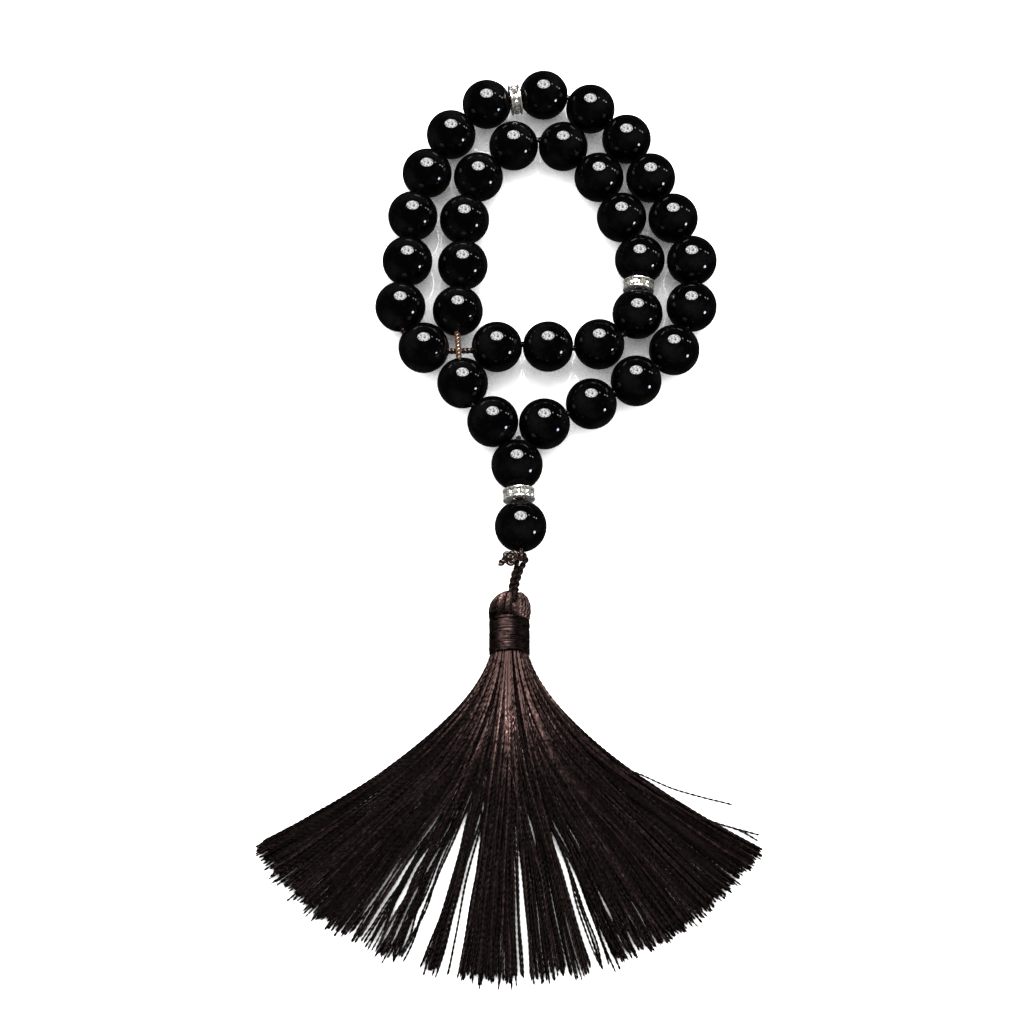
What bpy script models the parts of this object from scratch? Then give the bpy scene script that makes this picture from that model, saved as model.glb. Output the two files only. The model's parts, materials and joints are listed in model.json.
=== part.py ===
"""A misbaha: 33 black stone beads on a cord, three silver spacers, two head beads and a silk tassel.

The string of beads lies on a flat surface in a double turn that crosses itself once. Below the loop the
cord runs doubled through two head beads, and the tassel hangs from its end. The surface is z = 0, the
tassel points to -Y, and the origin is the middle of the footprint. The tables of points are in
millimetres, and MM turns them into metres.
"""

import math
from collections import namedtuple

import bmesh
import bpy
from mathutils import Vector

MM = 0.001

# Beads
BEAD_RADIUS = 6.0 * MM
BORE_RADIUS = 1.0 * MM
HEAD_BORE_RADIUS = 1.3 * MM
BEAD_SIDES = 16
BEAD_ARC_STEPS = 8
BEADS = 33

# Spacing along the string, centre to centre
BEAD_PITCH = 12.12 * MM
SPACER_PITCH = 7.14 * MM
FIRST_BEAD = 6.2 * MM
BARE_OVER = 18.7 * MM
BARE_UNDER = 17.3 * MM
ALIGN_ROUNDS = 4
BARE_OVER_BEFORE = 3
BARE_UNDER_BEFORE = 16
SPACER_BEFORE = (12, 23)

# Silver spacers: a channel ring with a row of stones in it
SPACER_RADIUS = 3.7 * MM
SPACER_HALF_WIDTH = 1.25 * MM
SPACER_FLANGE = 0.35 * MM
SPACER_DISH_RADIUS = 2.1 * MM  # the faces are dished round the bore, where the beads' ends nestle
SPACER_DISH_DEPTH = 0.5 * MM
CHANNEL_RADIUS = 2.7 * MM
SPACER_SIDES = 16
STONES = 12
STONE_INNER = 2.8 * MM
STONE_SHOULDER = 3.3 * MM
STONE_TABLE = 3.6 * MM
STONE_HALF_WIDTH = 0.8 * MM
STONE_TABLE_HALF_WIDTH = 0.45 * MM

# From a piece's centre to where the cord may bend
BORE_HALF_LENGTH = {
    "bead": math.sqrt(BEAD_RADIUS**2 - BORE_RADIUS**2),
    "spacer": SPACER_HALF_WIDTH / 2,
}

# Cords
CORD_RADIUS = 0.5 * MM
HANGER_RADIUS = 0.47 * MM
CORD_PLAY = 0.33 * MM  # how far the cord may lie off the middle of a bead's bore
CORD_REACH = 0.1 * MM  # how far the loop's cord stands out of its first and last bead
CURVE_STEPS = 40

# The string's route through the beads' centres, from the head bead round both turns and back
CROSSING_OVER = (-11.2, 37.6, 6.8)
CROSSING_UNDER = (-10.7, 36.9, 5.2)
LOOP_ROUTE = (
    (1.9, 14.7, 6.0), (-3.0, 18.5, 6.0), (-10.1, 28.3, 6.0), CROSSING_OVER, (-11.4, 47.0, 6.0),
    (-10.3, 59.0, 6.0), (-10.0, 71.0, 6.0), (-6.8, 82.6, 6.0), (1.7, 91.3, 6.0), (13.8, 91.3, 6.0),
    (22.6, 82.8, 6.0), (28.0, 71.8, 6.0), (32.2, 60.3, 6.0), (31.75, 53.2, 6.0), (31.3, 46.1, 6.0),
    (21.9, 38.2, 6.0), (9.8, 37.7, 6.0), (-2.3, 37.6, 6.0), CROSSING_UNDER, (-19.4, 37.4, 6.0),
    (-25.1, 48.1, 6.0), (-23.6, 60.0, 6.0), (-22.5, 72.1, 6.0), (-19.2, 83.8, 6.0), (-13.4, 94.5, 6.0),
    (-4.6, 103.0, 6.0), (2.35, 104.2, 6.0), (9.5, 105.5, 6.0), (21.0, 101.5, 6.0), (29.7, 93.0, 6.0),
    (35.4, 82.2, 6.0), (40.6, 71.2, 6.0), (44.7, 59.9, 6.0), (44.2, 47.8, 6.0), (39.7, 36.6, 6.0),
    (30.6, 28.8, 6.0), (20.1, 23.0, 6.0), (9.2, 18.0, 6.0), (3.6, 14.9, 6.0),
)

# Head beads
UPPER_HEAD_BEAD = (2.65, 7.65, 6.0)
LOWER_HEAD_BEAD = (3.5, -7.5, 6.0)

# The doubled cord: one strand over the other through the head beads, then round the hanger's eye
HEAD_ROUTE = (
    (1.56, 13.72, 6.1), (2.0, 13.3, 6.5), (2.35, 12.5, 6.6), (2.65, 7.65, 6.6), (3.1, 0.1, 6.6),
    (3.5, -7.5, 6.6), (3.6, -13.4, 6.7), (3.55, -14.4, 7.05), (3.55, -15.15, 6.75), (3.55, -15.5, 6.0),
    (3.55, -15.15, 5.2), (3.55, -14.4, 4.85), (3.6, -13.4, 5.3), (3.5, -7.5, 5.4), (3.1, 0.1, 5.4),
    (2.65, 7.65, 5.4), (2.4, 12.6, 5.4), (2.55, 13.6, 5.5), (2.95, 14.3, 5.75), (3.3, 14.75, 5.9),
)
KNOT = (0.75, -15.5, 7.4)
KNOT_RADII = (1.2, 1.8, 1.4)

# The tassel's hanger: up from the dome, round the eye and down again
HANGER_ROUTE = (
    (1.15, -22.3, 4.9), (1.45, -20.5, 5.1), (1.9, -18.6, 5.5), (2.35, -17.0, 5.3), (2.45, -15.6, 5.5),
    (2.8, -14.7, 5.8), (3.55, -14.35, 5.95), (4.25, -14.65, 6.0), (4.65, -15.4, 6.0), (4.3, -16.9, 5.9),
    (3.3, -18.8, 5.5), (2.6, -20.5, 5.1), (2.25, -22.3, 4.9),
)

# Where the tassel moves: the hanger swings on the cord, and the tassel lifts on the hanger's lower end
HANGER_JOINT = (3.55, -14.35, 5.95)
TASSEL_JOINT = (1.7, -21.9, 4.9)

# Tassel head, turned about an axis along -Y: distance from the dome's top, radius
TASSEL_TOP = (0.9, -22.65, 4.9)
DOME_PROFILE = (
    (0.0, 0.0), (0.15, 1.3), (0.7, 2.7), (1.7, 3.9), (3.1, 4.65), (4.7, 4.88), (6.2, 4.75), (7.2, 4.4),
    (7.3, 3.5), (15.1, 3.5), (15.1, 0.0),
)
WRAP_TOP = 7.5 * MM
WRAP_BOTTOM = 15.2 * MM
WRAP_RADIUS = 4.45 * MM
WRAP_BORE = 3.65 * MM
WRAP_ROUNDING = 0.3 * MM
TASSEL_SIDES = 20

# Skirt: bundles of threads of one length, fanned out flat from the binding
SKIRT_TOP = 15.6 * MM
SKIRT_NECK = 4.3 * MM
SKIRT_LENGTH = 73.3 * MM
SKIRT_EDGE_SHORTER = 3.8 * MM
FAN_LEFT = math.radians(63.5)
FAN_RIGHT = math.radians(60.6)
FAN_POWER = 0.25
SKIRT_END_THICKNESS = 1.5 * MM
SKIRT_THINNING = 12.0 * MM
SKIRT_LANDING = 14.0 * MM
BUNDLE_GAP = 0.17 * MM
BUNDLE_OPENING = 34.0 * MM
BUNDLE_EDGES = (-1.0, -0.68, -0.33, -0.14, 0.2, 0.46, 0.74, 1.0)
BUNDLE_TIP_GAPS = (0.0, 0.3, 1.6, 1.2, 1.2, 1.6, 0.3, 0.0)  # half of each gap at the threads' ends, mm
BUNDLE_COLUMNS = 4
PATH_STEPS = 60
BUNDLE_STATIONS = (0, 3, 7, 12, 18, 27, 38, 49, PATH_STEPS)  # steps down a thread's course

Piece = namedtuple("Piece", "kind place direction")


def metres(point):
    """A table point in millimetres as a vector in metres."""
    return Vector(point) * MM


# ---------------------------------------------------------------- materials


def make_material(name, color, roughness, metallic=0.0):
    material = bpy.data.materials.new(name)
    material.use_nodes = True
    shader = material.node_tree.nodes["Principled BSDF"]
    shader.inputs["Base Color"].default_value = (*color, 1.0)
    shader.inputs["Roughness"].default_value = roughness
    shader.inputs["Metallic"].default_value = metallic
    material.diffuse_color = (*color, 1.0)
    return material


def make_materials():
    return {
        "stone": make_material("black_stone", (0.006, 0.006, 0.007), 0.08),
        "silver": make_material("silver", (0.78, 0.78, 0.76), 0.2, 1.0),
        "crystal": make_material("crystal", (0.9, 0.91, 0.92), 0.05),
        "cord": make_material("brown_cord", (0.13, 0.06, 0.04), 0.5),
        "silk": make_material("dark_silk", (0.035, 0.016, 0.015), 0.45),
    }


# ---------------------------------------------------------------- shared shapes


def smooth_curve(points, steps=CURVE_STEPS):
    """A smooth curve through the points, whose direction at each one bisects its two neighbours."""
    padded = [2 * points[0] - points[1], *points, 2 * points[-1] - points[-2]]
    directions = []
    for before, here, after in zip(padded, padded[1:], padded[2:]):
        directions.append(((here - before).normalized() + (after - here).normalized()).normalized())
    curve = []
    for i in range(len(points) - 1):
        span = (points[i + 1] - points[i]).length
        for k in range(steps):
            t = k / steps
            curve.append(
                (2 * t**3 - 3 * t**2 + 1) * points[i]
                + (t**3 - 2 * t**2 + t) * span * directions[i]
                + (3 * t**2 - 2 * t**3) * points[i + 1]
                + (t**3 - t**2) * span * directions[i + 1]
            )
    curve.append(points[-1])
    return curve


def place_under(obj, parent, location):
    """Parent the object and put it at a place in world coordinates: no pivot is turned or scaled."""
    obj.parent = parent
    while parent:
        location = location - parent.location
        parent = parent.parent
    obj.location = location


def add_object(name, data, material, collection, parent, location=Vector()):
    obj = bpy.data.objects.new(name, data)
    collection.objects.link(obj)
    if not data.materials:
        data.materials.append(material)
    place_under(obj, parent, location)
    return obj


def add_pivot(name, location, collection, parent):
    """An empty on a joint's axis, which carries the pieces that move with the joint."""
    pivot = bpy.data.objects.new(name, None)
    collection.objects.link(pivot)
    place_under(pivot, parent, location)
    return pivot


def profile_mesh(name, profile, closed):
    """A turned profile as edges in the XZ plane: (radius, height) pairs that run down the outer side."""
    mesh = bpy.data.meshes.new(name)
    edges = [(i, i + 1) for i in range(len(profile) - 1)]
    if closed:
        edges.append((len(profile) - 1, 0))
    mesh.from_pydata([(radius, 0.0, height) for radius, height in profile], edges, [])
    return mesh


def turn(obj, sides, smooth=True):
    """Turn the object's profile about its own Z axis."""
    screw = obj.modifiers.new("turn", "SCREW")
    screw.axis = "Z"
    screw.steps = sides
    screw.render_steps = sides
    screw.use_merge_vertices = True
    screw.merge_threshold = 0.00001
    screw.use_smooth_shade = smooth
    return obj


def aim(obj, direction):
    """Turn the object's Z axis to the direction."""
    obj.rotation_euler = direction.to_track_quat("Z", "Y").to_euler()


def cord_curve(name, points, radius):
    """A round cord through the points."""
    curve = bpy.data.curves.new(name, "CURVE")
    curve.dimensions = "3D"
    curve.bevel_depth = radius
    curve.bevel_resolution = 2
    curve.use_fill_caps = True
    spline = curve.splines.new("POLY")
    spline.points.add(len(points) - 1)
    for target, point in zip(spline.points, points):
        target.co = (*point, 1.0)
    return curve


# ---------------------------------------------------------------- string of beads


def string_order():
    """Every piece on the loop in string order: its kind and its distance from the piece before it."""
    order = []
    for number in range(1, BEADS + 1):
        pitch = BEAD_PITCH
        if number == 1:
            pitch = FIRST_BEAD
        elif number == BARE_OVER_BEFORE:
            pitch = BARE_OVER
        elif number == BARE_UNDER_BEFORE:
            pitch = BARE_UNDER
        elif number in SPACER_BEFORE:
            order.append(("spacer", SPACER_PITCH))
            pitch = SPACER_PITCH
        order.append(("bead", pitch))
    return order


def thread_string():
    """Walk the route and give each piece its centre and its direction along the string."""
    curve = smooth_curve([metres(point) for point in LOOP_ROUTE])
    threaded = []
    place = curve[0]
    index = 1
    for kind, pitch in string_order():
        while (curve[index] - place).length < pitch:
            index += 1
        before, after = curve[index - 1], curve[index]
        near, far = (before - place).length, (after - place).length
        place = before.lerp(after, (pitch - near) / (far - near))
        threaded.append(Piece(kind, place, (after - before).normalized()))
    return align_bores(threaded)


def bore_end(piece, side):
    """Where the cord passes a piece's end: side is -1 for the end it comes in by, 1 for the other."""
    return piece.place + side * BORE_HALF_LENGTH[piece.kind] * piece.direction


def align_bores(threaded):
    """Turn each bead so that its bore leads from the end of the piece before to the start of the next.

    A spacer sits square between the two beads that hold it.
    """
    for _ in range(ALIGN_ROUNDS):
        turned = [threaded[0]]
        for before, piece, after in zip(threaded, threaded[1:], threaded[2:]):
            pull = (bore_end(after, -1) - bore_end(before, 1)).normalized()
            direction = (piece.direction + pull).normalized()
            if piece.kind == "spacer":
                direction = (after.place - before.place).normalized()
            turned.append(piece._replace(direction=direction))
        turned.append(threaded[-1])
        threaded = turned
    return threaded


def bead_profile(bore_radius):
    """Half the outline of a drilled ball: its round side from top to bottom, then up the bore."""
    mouth = math.asin(bore_radius / BEAD_RADIUS)
    profile = []
    for k in range(BEAD_ARC_STEPS + 1):
        angle = mouth + (math.pi - 2 * mouth) * k / BEAD_ARC_STEPS
        profile.append((BEAD_RADIUS * math.sin(angle), BEAD_RADIUS * math.cos(angle)))
    return profile


def add_bead(name, mesh, place, direction, materials, collection, parent):
    bead = add_object(name, mesh, materials["stone"], collection, parent, place)
    aim(bead, direction)
    return turn(bead, BEAD_SIDES)


def spacer_meshes():
    """The spacer's two profiles: the metal channel ring, and the row of stones that sits in it."""
    channel = SPACER_HALF_WIDTH - SPACER_FLANGE
    throat = SPACER_HALF_WIDTH - SPACER_DISH_DEPTH
    ring = (
        (HEAD_BORE_RADIUS, throat),
        (SPACER_DISH_RADIUS, SPACER_HALF_WIDTH),
        (SPACER_RADIUS, SPACER_HALF_WIDTH),
        (SPACER_RADIUS, channel),
        (CHANNEL_RADIUS, channel),
        (CHANNEL_RADIUS, -channel),
        (SPACER_RADIUS, -channel),
        (SPACER_RADIUS, -SPACER_HALF_WIDTH),
        (SPACER_DISH_RADIUS, -SPACER_HALF_WIDTH),
        (HEAD_BORE_RADIUS, -throat),
    )
    stones = (
        (STONE_INNER, STONE_HALF_WIDTH),
        (STONE_SHOULDER, STONE_HALF_WIDTH),
        (STONE_TABLE, STONE_TABLE_HALF_WIDTH),
        (STONE_TABLE, -STONE_TABLE_HALF_WIDTH),
        (STONE_SHOULDER, -STONE_HALF_WIDTH),
        (STONE_INNER, -STONE_HALF_WIDTH),
    )
    return profile_mesh("spacer_ring", ring, True), profile_mesh("spacer_stones", stones, True)


def add_spacer(number, meshes, place, direction, materials, collection, parent):
    ring_mesh, stone_mesh = meshes
    ring = add_object(f"spacer_{number}_ring", ring_mesh, materials["silver"], collection, parent, place)
    aim(ring, direction)
    turn(ring, SPACER_SIDES)
    stones = add_object(
        f"spacer_{number}_stones", stone_mesh, materials["crystal"], collection, parent, place
    )
    aim(stones, direction)
    turn(stones, STONES, smooth=False)


def cord_point(piece, side, neighbour):
    """Where the cord leaves a bore: off its middle, towards the neighbour's bore, as far as the play lets it."""
    end = bore_end(piece, side)
    across = bore_end(neighbour, -side) - end
    across -= across.dot(piece.direction) * piece.direction
    share = min(0.5, CORD_PLAY / across.length)
    return end + share * across


def loop_cord_points(threaded):
    """The loop's cord runs straight through each bead and spacer and bends in the gaps between them."""
    first, last = threaded[0], threaded[-1]
    points = [bore_end(first, -1) - CORD_REACH * first.direction]
    bead = 0
    for piece, neighbour in zip(threaded, threaded[1:]):
        points.append(cord_point(piece, 1, neighbour))
        if piece.kind == "bead":
            bead += 1
        if bead == BARE_OVER_BEFORE - 1:
            points.append(metres(CROSSING_OVER))
        if bead == BARE_UNDER_BEFORE - 1:
            points.append(metres(CROSSING_UNDER))
        points.append(cord_point(neighbour, -1, piece))
    points.append(bore_end(last, 1) + CORD_REACH * last.direction)
    return points


def build_loop(materials, collection, root):
    threaded = thread_string()
    cord = cord_curve("loop_cord", loop_cord_points(threaded), CORD_RADIUS)
    add_object("loop_cord", cord, materials["cord"], collection, root)
    bead_mesh = profile_mesh("bead", bead_profile(BORE_RADIUS), True)
    meshes = spacer_meshes()
    bead = 0
    spacer = 0
    for kind, place, direction in threaded:
        if kind == "bead":
            bead += 1
            add_bead(f"bead_{bead:02d}", bead_mesh, place, direction, materials, collection, root)
        else:
            spacer += 1
            add_spacer(spacer, meshes, place, direction, materials, collection, root)
    return meshes, (threaded[0].place + threaded[-1].place) / 2


# ---------------------------------------------------------------- head and knot


def build_head(materials, collection, pivot, meshes):
    upper, lower = metres(UPPER_HEAD_BEAD), metres(LOWER_HEAD_BEAD)
    direction = (lower - upper).normalized()
    head_mesh = profile_mesh("head_bead", bead_profile(HEAD_BORE_RADIUS), True)
    add_bead("head_bead_upper", head_mesh, upper, direction, materials, collection, pivot)
    add_bead("head_bead_lower", head_mesh, lower, direction, materials, collection, pivot)
    add_spacer(3, meshes, (upper + lower) / 2, direction, materials, collection, pivot)
    strands = cord_curve("head_cord", [metres(point) for point in HEAD_ROUTE], CORD_RADIUS)
    add_object("head_cord", strands, materials["cord"], collection, pivot)
    add_knot(materials, collection, pivot)


def add_knot(materials, collection, pivot):
    """The tied ends of the cord: a small rounded lump over the hanger's left leg."""
    mesh = bpy.data.meshes.new("cord_knot")
    lump = bmesh.new()
    bmesh.ops.create_uvsphere(lump, u_segments=12, v_segments=8, radius=1.0)
    for vertex in lump.verts:
        vertex.co = Vector(vertex.co[axis] * KNOT_RADII[axis] * MM for axis in range(3))
    lump.to_mesh(mesh)
    lump.free()
    mesh.shade_smooth()
    add_object("cord_knot", mesh, materials["cord"], collection, pivot, metres(KNOT))


# ---------------------------------------------------------------- tassel


def build_hanger(materials, collection, pivot):
    points = [metres(point) for point in HANGER_ROUTE]
    hanger = cord_curve("tassel_hanger", points, HANGER_RADIUS)
    add_object("tassel_hanger", hanger, materials["silk"], collection, pivot)


def build_tassel_head(materials, collection, pivot):
    """The folded threads with their neck, and the binding wound round the neck."""
    top = metres(TASSEL_TOP)
    down = Vector((0.0, -1.0, 0.0))
    profile = [(radius * MM, -distance * MM) for distance, radius in DOME_PROFILE]
    dome_mesh = profile_mesh("tassel_dome", profile, False)
    dome = add_object("tassel_dome", dome_mesh, materials["silk"], collection, pivot, top)
    aim(dome, -down)
    turn(dome, TASSEL_SIDES)
    rounding = WRAP_ROUNDING
    band = (
        (WRAP_BORE, -WRAP_TOP),
        (WRAP_RADIUS - rounding, -WRAP_TOP),
        (WRAP_RADIUS, -WRAP_TOP - rounding),
        (WRAP_RADIUS, -WRAP_BOTTOM + rounding),
        (WRAP_RADIUS - rounding, -WRAP_BOTTOM),
        (WRAP_BORE, -WRAP_BOTTOM),
    )
    wrap_mesh = profile_mesh("tassel_binding", band, True)
    wrap = add_object("tassel_binding", wrap_mesh, materials["silk"], collection, pivot, top)
    aim(wrap, -down)
    turn(wrap, TASSEL_SIDES)


def thread_path(spread):
    """One thread's course from the binding, by its place in the fan: -1 left edge, 1 right edge.

    Its direction turns outwards quickly at first and then ever more slowly.
    """
    length = SKIRT_LENGTH - SKIRT_EDGE_SHORTER * spread**2
    fan = FAN_RIGHT if spread > 0 else FAN_LEFT
    top = metres(TASSEL_TOP)
    place = Vector((top.x + SKIRT_NECK * spread, top.y - SKIRT_TOP, 0.0))
    step = length / PATH_STEPS
    course = [(place.copy(), Vector((0.0, -1.0, 0.0)))]
    for k in range(PATH_STEPS):
        angle = spread * fan * ((k + 0.5) / PATH_STEPS) ** FAN_POWER
        direction = Vector((math.sin(angle), -math.cos(angle), 0.0))
        place = place + step * direction
        course.append((place, direction))
    return course


def bundle_column(spread, side, tip_gap):
    """The corners down one side or rib of a bundle: a pair of points, low and high, at each station."""
    course = thread_path(spread)
    half_neck = math.sqrt(WRAP_RADIUS**2 - (SKIRT_NECK * spread) ** 2)
    corners = []
    for station in BUNDLE_STATIONS:
        place, direction = course[station]
        reach = SKIRT_LENGTH * station / PATH_STEPS
        opening = max(0.0, (reach - BUNDLE_OPENING) / (SKIRT_LENGTH - BUNDLE_OPENING))
        inset = side * (BUNDLE_GAP + tip_gap * MM * opening)
        across = Vector((-direction.y, direction.x, 0.0))
        low = (TASSEL_TOP[2] * MM - half_neck) * max(0.0, 1 - reach / SKIRT_LANDING) ** 2
        thick = SKIRT_END_THICKNESS
        thick += (2 * half_neck - SKIRT_END_THICKNESS) * math.exp(-reach / SKIRT_THINNING)
        corner = place + inset * across
        corners.append((corner + Vector((0, 0, low)), corner + Vector((0, 0, low + thick))))
    return corners


def loft_columns(name, columns):
    """A closed solid from side-by-side columns of low and high points."""
    loft = bmesh.new()
    grid = [[(loft.verts.new(low), loft.verts.new(high)) for low, high in column] for column in columns]
    last = len(BUNDLE_STATIONS) - 1
    for left, right in zip(grid, grid[1:]):
        for k in range(last):
            for level in (0, 1):
                loft.faces.new((left[k][level], right[k][level], right[k + 1][level], left[k + 1][level]))
        for k in (0, last):
            loft.faces.new((left[k][0], right[k][0], right[k][1], left[k][1]))
    for edge in (grid[0], grid[-1]):
        for k in range(last):
            loft.faces.new((edge[k][0], edge[k + 1][0], edge[k + 1][1], edge[k][1]))
    bmesh.ops.recalc_face_normals(loft, faces=loft.faces)
    mesh = bpy.data.meshes.new(name)
    loft.to_mesh(mesh)
    loft.free()
    return mesh


def build_skirt(materials, collection, pivot):
    for number in range(1, len(BUNDLE_EDGES)):
        left, right = BUNDLE_EDGES[number - 1], BUNDLE_EDGES[number]
        left_gap, right_gap = BUNDLE_TIP_GAPS[number - 1], BUNDLE_TIP_GAPS[number]
        columns = []
        for k in range(BUNDLE_COLUMNS):
            share = k / (BUNDLE_COLUMNS - 1)
            side = {0: 1, BUNDLE_COLUMNS - 1: -1}.get(k, 0)
            tip_gap = left_gap if side > 0 else right_gap
            columns.append(bundle_column(left + (right - left) * share, side, tip_gap))
        name = f"skirt_bundle_{number}"
        add_object(name, loft_columns(name, columns), materials["silk"], collection, pivot)


# ---------------------------------------------------------------- the whole object


def main():
    for obj in list(bpy.data.objects):
        bpy.data.objects.remove(obj, do_unlink=True)
    collection = bpy.data.collections.new("misbaha")
    bpy.context.scene.collection.children.link(collection)
    materials = make_materials()
    root = add_pivot("misbaha_frame", Vector(), collection, None)
    meshes, head_joint = build_loop(materials, collection, root)
    head = add_pivot("head_pivot", head_joint, collection, root)
    build_head(materials, collection, head, meshes)
    hanger = add_pivot("hanger_pivot", metres(HANGER_JOINT), collection, head)
    build_hanger(materials, collection, hanger)
    tassel = add_pivot("tassel_pivot", metres(TASSEL_JOINT), collection, hanger)
    build_tassel_head(materials, collection, tassel)
    build_skirt(materials, collection, tassel)


main()
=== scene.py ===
"""The looks of a misbaha: polished black beads, stone-set silver spacers, brown cord and a silk tassel.

It lies on a white surface at z = 0, with the tassel towards -Y. Tables of points are in millimetres, and
MM turns them into metres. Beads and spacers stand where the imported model's joints say.
"""

import json
import math

import bmesh
import bpy
import numpy as np
from mathutils import Matrix, Vector

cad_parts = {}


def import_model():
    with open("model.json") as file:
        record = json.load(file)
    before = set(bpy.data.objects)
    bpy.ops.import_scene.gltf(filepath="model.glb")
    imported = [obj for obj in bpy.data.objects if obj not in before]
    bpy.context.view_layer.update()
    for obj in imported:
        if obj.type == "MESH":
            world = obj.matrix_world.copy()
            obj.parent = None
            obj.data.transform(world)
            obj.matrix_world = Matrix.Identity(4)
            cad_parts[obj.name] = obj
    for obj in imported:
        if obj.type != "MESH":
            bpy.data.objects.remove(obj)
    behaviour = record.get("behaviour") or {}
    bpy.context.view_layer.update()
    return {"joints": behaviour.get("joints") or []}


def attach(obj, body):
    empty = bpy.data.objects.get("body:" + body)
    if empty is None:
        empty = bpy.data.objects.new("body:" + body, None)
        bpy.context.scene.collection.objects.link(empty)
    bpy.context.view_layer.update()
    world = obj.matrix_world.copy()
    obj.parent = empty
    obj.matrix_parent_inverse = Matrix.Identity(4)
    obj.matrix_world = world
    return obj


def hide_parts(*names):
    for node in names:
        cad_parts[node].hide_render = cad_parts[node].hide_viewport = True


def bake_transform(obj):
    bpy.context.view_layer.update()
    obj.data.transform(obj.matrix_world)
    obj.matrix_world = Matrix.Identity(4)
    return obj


MM = 0.001

# How bright the surround is: at the horizon for soft surfaces, in polished ones, and in the table's polish
SURROUND_DIFFUSE = 5.0
SURROUND_GLOSSY = 0.03
SURROUND_MIRRORED = 1.1
SURROUND_FADE = (0.15, 0.95)  # it fades between these heights, from the horizon at 0 to straight up at 1

# Painted shade: the table's colour and glow are black where the beads leave it less open sky than the
# first share, within this distance, and white from the second share on
GAP_REACH = 14.0 * MM
GAP_SHADE = (0.2, 0.34)
FLOOR_GLOW = 0.8
FLOOR_HALF_SIDE = 3.0
FLOOR_DROP = 0.05 * MM  # the table lies this far below the pieces, so that they don't share a plane

# Lights. A spot is where a ball shows the light: right and up from its middle, in its radii
MAIN_SPOT = (0.0, 0.425)
MAIN_DISTANCE = 0.9
MAIN_SIZE = (0.82, 0.7)
SOFTBOX_POWER = 72.0
KEY_POWER = 9.0
SPOT_DISTANCE = 1.2
WINDOW_SPOT = (0.525, -0.225)
WINDOW_SIZE = (0.22, 0.22)
WINDOW_POWER = 7.0
WINDOW_COLOR = (0.72, 0.84, 1.0)
LAMP_SPOTS = ((0.32, 0.43), (0.51, 0.345), (0.60, 0.31))
LAMP_SIZE = (0.11, 0.11)
LAMP_POWER = 0.5

# Camera
CAMERA_TARGET = (1.5, -4.0, 6.0)
CAMERA_ELEVATION = math.radians(69.9)
CAMERA_DISTANCE = 533.45 * MM
CAMERA_LENS = 81.375

# Thread colors, at the darkest and the palest tone
CORD_DARK = (0.0015, 0.0008, 0.0005)
CORD_LIGHT = (0.24, 0.148, 0.1)
SILK_DARK = (0.0003, 0.0002, 0.0002)
SILK_LIGHT = (0.24, 0.145, 0.13)

# Beads
BEAD_RADIUS = 6.0 * MM
BORE_RADIUS = 1.0 * MM
BORE_CHAMFER = 0.28 * MM
BEAD_SIDES = 64
BEAD_ARC_STEPS = 40
BEADS = 33

# Spacers
SPACER_RADIUS = 3.7 * MM
SPACER_HALF_WIDTH = 1.25 * MM
FLANGE = 0.34 * MM
FLANGE_EDGE = 0.09 * MM
DISH_RADIUS = 2.1 * MM
DISH_DEPTH = 0.5 * MM
SEAT_RADIUS = 2.75 * MM
SPACER_BORE = 1.3 * MM
SPACER_SIDES = 64
STONES = 12
STONE_RADIUS = 0.82 * MM
STONE_TABLE = 0.48 * MM
STONE_GIRDLE_AT = 3.22 * MM
STONE_TABLE_AT = 3.58 * MM
STONE_CULET_AT = 2.8 * MM
STONE_SIDES = 8

# Cords: two plies twisted round each other. A tone goes from dark at 0 to pale and shiny at 1;
# it carries random tone and, in places, painted sheen
LOOP_CORD_RADIUS = 0.7 * MM
CORD_RADIUS = 0.55 * MM
HANGER_RADIUS = 0.7 * MM
CORD_TWIST = 1.9 * MM
HANGER_TWIST = 3.0 * MM
HEAD_CORD_TONE = 0.1
HANGER_TONE = 0.035
PLIES = 2
PLY_OFFSET = 0.5  # in the cord's radius, as the next two
PLY_RADIUS = 0.56
TWISTED_REACH = PLY_OFFSET + PLY_RADIUS
PLY_SIDES = 8
STEPS_PER_TURN = 12
LOOP_END_REACH = 0.98 * BEAD_RADIUS  # how far the loop cord's ends pass the middles of the end beads
BORE_PULL = 1.3  # how far the loop cord keeps to each bore's direction, against a plain smooth curve

# The loop cord's bare stretch at the crossing gets a painted highlight, paler and shinier, and the run
# below it has only a share of that, as painted shade
PAINTED_HIGHLIGHT_REACH = 4.5 * MM
DULL_TONE = 0.02
UNDER_SHARE = 0.1

# Where the loop crosses itself, and the beads and spacers that follow each crossing and each gap
CROSSING_OVER = (-11.2, 37.6, 6.8)
CROSSING_UNDER = (-10.7, 36.9, 5.2)
OVER_BEFORE = 3
UNDER_BEFORE = 16
SPACER_BEFORE = (12, 23)

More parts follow.
